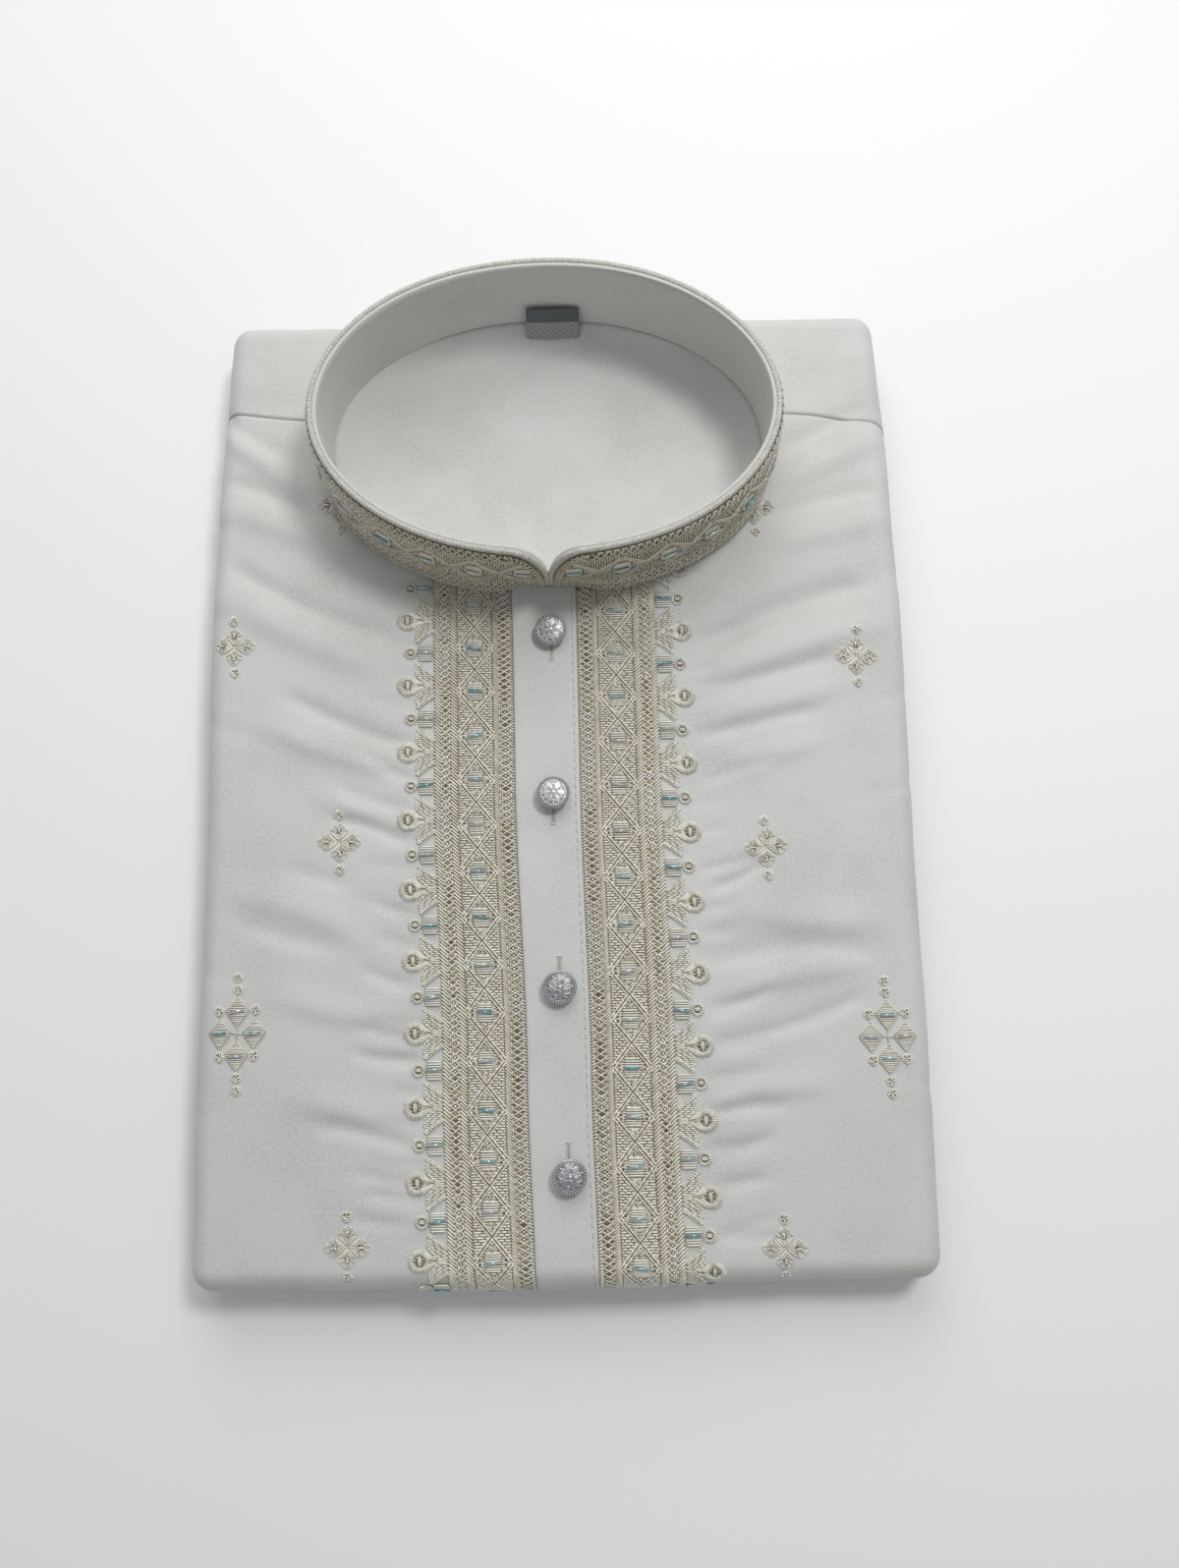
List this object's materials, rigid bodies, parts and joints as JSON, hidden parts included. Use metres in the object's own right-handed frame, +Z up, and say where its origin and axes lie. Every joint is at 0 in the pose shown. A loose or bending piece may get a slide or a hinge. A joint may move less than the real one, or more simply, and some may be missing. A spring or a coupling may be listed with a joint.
{
  "type": "folded kurta",
  "caption": "Folded kurta with a standing embroidered band collar, buttoned placket and beaded thread bands, lying flat.",
  "frame": {"origin": "middle of the folded pack's footprint, on the surface that it lies on", "axes": "+X to the right of someone who faces the collar from below it, +Y towards the collar, +Z up"},
  "size_m": [0.2474, 0.3428, 0.062],
  "materials": {
    "cloth": "matt with a soft sheen",
    "inner_cloth": "matt",
    "embroidery": "silky thread",
    "button_metal": "antique silver",
    "beads": "iridescent gloss",
    "tab_cloth": "woven satin"
  },
  "bodies": {
    "root": {"folded_body": "cloth", "back_panel": "inner_cloth", "front_panel": "cloth", "yoke": "cloth", "collar_outer": "embroidery", "collar_inner": "inner_cloth", "placket": "cloth", "embroidered_band_left": "embroidery", "embroidered_band_right": "embroidery", "motif_left_1": "embroidery", "motif_left_2": "embroidery", "motif_left_3": "embroidery", "motif_left_4": "embroidery", "motif_left_5": "embroidery", "motif_right_1": "embroidery", "motif_right_2": "embroidery", "motif_right_3": "embroidery", "motif_right_4": "embroidery", "motif_right_5": "embroidery", "button_1": "button_metal", "button_2": "button_metal", "button_3": "button_metal", "button_4": "button_metal", "size_tab": "tab_cloth"}
  },
  "joints": []
}
